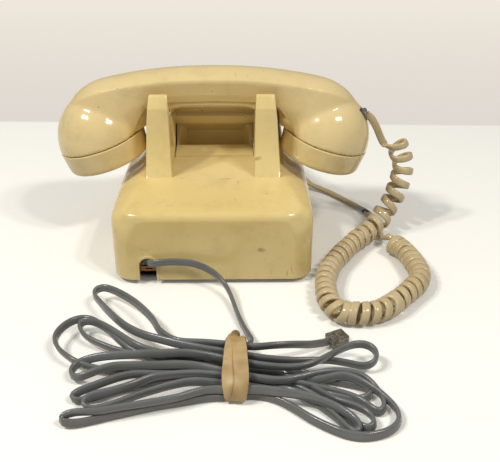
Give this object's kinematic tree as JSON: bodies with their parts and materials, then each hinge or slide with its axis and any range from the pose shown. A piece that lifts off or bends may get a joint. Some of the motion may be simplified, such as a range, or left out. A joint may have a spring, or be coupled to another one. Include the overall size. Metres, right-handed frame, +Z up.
{
  "type": "corded telephone",
  "caption": "Corded desk telephone with push-button keys, a handset on a two-eared cradle, a curly handset cord and a line cord folded into a hank.",
  "frame": {"origin": "middle of the set's footprint, without its cords, on the surface that the four feet stand on", "axes": "+Z up; the keys face -Y; +X is the right-hand side for a person facing the keys"},
  "size_m": [0.2725, 0.359, 0.1347],
  "materials": {
    "ivory_plastic": "semi-gloss moulded plastic, lightly scuffed",
    "plate_plastic": "semi-gloss moulded plastic",
    "key_plastic": "semi-gloss moulded plastic with plain printed numbers",
    "cord_ivory": "soft semi-gloss cord jacket, slightly dirty",
    "cord_grey": "soft semi-gloss cord jacket",
    "tan_rubber": "natural rubber band",
    "tan_plastic": "moulded jack body",
    "clear_plastic": "clear moulded plastic",
    "black_plastic": "black moulded plastic",
    "black_rubber": "black rubber",
    "steel": "zinc-plated steel",
    "brass": "plain brass",
    "contact_brass": "spring contacts in a black insulator",
    "coil_copper": "wound coil under varnished tape",
    "bakelite": "dark moulded block",
    "board": "contact board",
    "unit_grey": "pressed receiver capsule",
    "card": "plain paper card"
  },
  "bodies": {
    "base": {"base_plate": "steel", "feet": "black_rubber", "housing": "ivory_plastic", "finger_pocket": "ivory_plastic", "housing_screws": "steel", "line_jack": "tan_plastic", "handset_jack": "black_plastic", "network_block": "bakelite", "network_terminals": "brass", "ringer_frame": "steel", "ringer_coil": "coil_copper", "gong_left": "brass", "gong_right": "brass", "gong_screws": "steel", "wheel_bracket": "steel", "hook_bracket": "steel", "hook_pin": "steel", "contact_stack": "contact_brass", "dial_chassis": "steel", "dial_board": "board", "dial_legs": "steel", "dial_plate": "plate_plastic", "dial_screws": "steel", "number_card": "card", "card_window": "clear_plastic", "handset_coil": "cord_ivory", "base_lead": "cord_ivory", "base_plug": "clear_plastic", "line_plug": "clear_plastic", "line_lead": "cord_grey", "line_hank": "cord_grey", "rubber_band": "tan_rubber", "wall_lead": "cord_grey", "wall_plug": "clear_plastic"},
    "handset": {"handset_shell": "ivory_plastic", "receiver_cap": "ivory_plastic", "transmitter_cap": "ivory_plastic", "receiver_unit": "unit_grey", "transmitter_unit": "steel", "transmitter_cup": "black_plastic", "handset_socket": "black_plastic", "handset_plug": "clear_plastic", "handset_lead": "cord_ivory"},
    "plunger_left": {"plunger_left": "clear_plastic"},
    "plunger_right": {"plunger_right": "clear_plastic"},
    "hook_lever": {"hook_lever": "steel"},
    "clapper": {"clapper": "brass"},
    "volume_wheel": {"volume_wheel": "black_plastic"},
    "key_1": {"key_1": "key_plastic"},
    "key_2": {"key_2": "key_plastic"},
    "key_3": {"key_3": "key_plastic"},
    "key_4": {"key_4": "key_plastic"},
    "key_5": {"key_5": "key_plastic"},
    "key_6": {"key_6": "key_plastic"},
    "key_7": {"key_7": "key_plastic"},
    "key_8": {"key_8": "key_plastic"},
    "key_9": {"key_9": "key_plastic"},
    "key_star": {"key_star": "key_plastic"},
    "key_0": {"key_0": "key_plastic"},
    "key_hash": {"key_hash": "key_plastic"}
  },
  "joints": [
    {"name": "handset_lift", "type": "slide", "parent": "base", "child": "handset", "axis": [0, 0, 1], "range_m": [0, 0.08]},
    {"name": "plunger_left_slide", "type": "slide", "parent": "base", "child": "plunger_left", "axis": [0, 0, 1], "range_m": [0, 0.0046]},
    {"name": "plunger_right_slide", "type": "slide", "parent": "base", "child": "plunger_right", "axis": [0, 0, 1], "range_m": [0, 0.0046]},
    {"name": "hook_lever_turn", "type": "hinge", "parent": "base", "child": "hook_lever", "pos_m": [0, 0.052, 0.055], "axis": [1, 0, 0], "range_deg": [-10.2, 0]},
    {"name": "clapper_swing", "type": "hinge", "parent": "base", "child": "clapper", "pos_m": [0, -0.017, 0.015], "axis": [0, 0, 1], "range_deg": [-2.5, 2.5], "stiffness_Nm_per_rad": 0.02},
    {"name": "volume_turn", "type": "hinge", "parent": "base", "child": "volume_wheel", "pos_m": [0.059, -0.045, 0.014], "axis": [1, 0, 0], "range_deg": [-140, 140]},
    {"name": "key_1_press", "type": "slide", "parent": "base", "child": "key_1", "axis": [0, 0.5753, -0.818], "range_m": [0, 0.003], "stiffness_N_per_m": 300},
    {"name": "key_2_press", "type": "slide", "parent": "base", "child": "key_2", "axis": [0, 0.5753, -0.818], "range_m": [0, 0.003], "stiffness_N_per_m": 300},
    {"name": "key_3_press", "type": "slide", "parent": "base", "child": "key_3", "axis": [0, 0.5753, -0.818], "range_m": [0, 0.003], "stiffness_N_per_m": 300},
    {"name": "key_4_press", "type": "slide", "parent": "base", "child": "key_4", "axis": [0, 0.5753, -0.818], "range_m": [0, 0.003], "stiffness_N_per_m": 300},
    {"name": "key_5_press", "type": "slide", "parent": "base", "child": "key_5", "axis": [0, 0.5753, -0.818], "range_m": [0, 0.003], "stiffness_N_per_m": 300},
    {"name": "key_6_press", "type": "slide", "parent": "base", "child": "key_6", "axis": [0, 0.5753, -0.818], "range_m": [0, 0.003], "stiffness_N_per_m": 300},
    {"name": "key_7_press", "type": "slide", "parent": "base", "child": "key_7", "axis": [0, 0.5753, -0.818], "range_m": [0, 0.003], "stiffness_N_per_m": 300},
    {"name": "key_8_press", "type": "slide", "parent": "base", "child": "key_8", "axis": [0, 0.5753, -0.818], "range_m": [0, 0.003], "stiffness_N_per_m": 300},
    {"name": "key_9_press", "type": "slide", "parent": "base", "child": "key_9", "axis": [0, 0.5753, -0.818], "range_m": [0, 0.003], "stiffness_N_per_m": 300},
    {"name": "key_star_press", "type": "slide", "parent": "base", "child": "key_star", "axis": [0, 0.5753, -0.818], "range_m": [0, 0.003], "stiffness_N_per_m": 300},
    {"name": "key_0_press", "type": "slide", "parent": "base", "child": "key_0", "axis": [0, 0.5753, -0.818], "range_m": [0, 0.003], "stiffness_N_per_m": 300},
    {"name": "key_hash_press", "type": "slide", "parent": "base", "child": "key_hash", "axis": [0, 0.5753, -0.818], "range_m": [0, 0.003], "stiffness_N_per_m": 300}
  ],
  "couplings": [
    {"joint": "plunger_left_slide", "follows": "handset_lift", "ratio": 0.05625},
    {"joint": "plunger_right_slide", "follows": "handset_lift", "ratio": 0.05625},
    {"joint": "hook_lever_turn", "follows": "handset_lift", "rad_per_m": -2.1635}
  ]
}
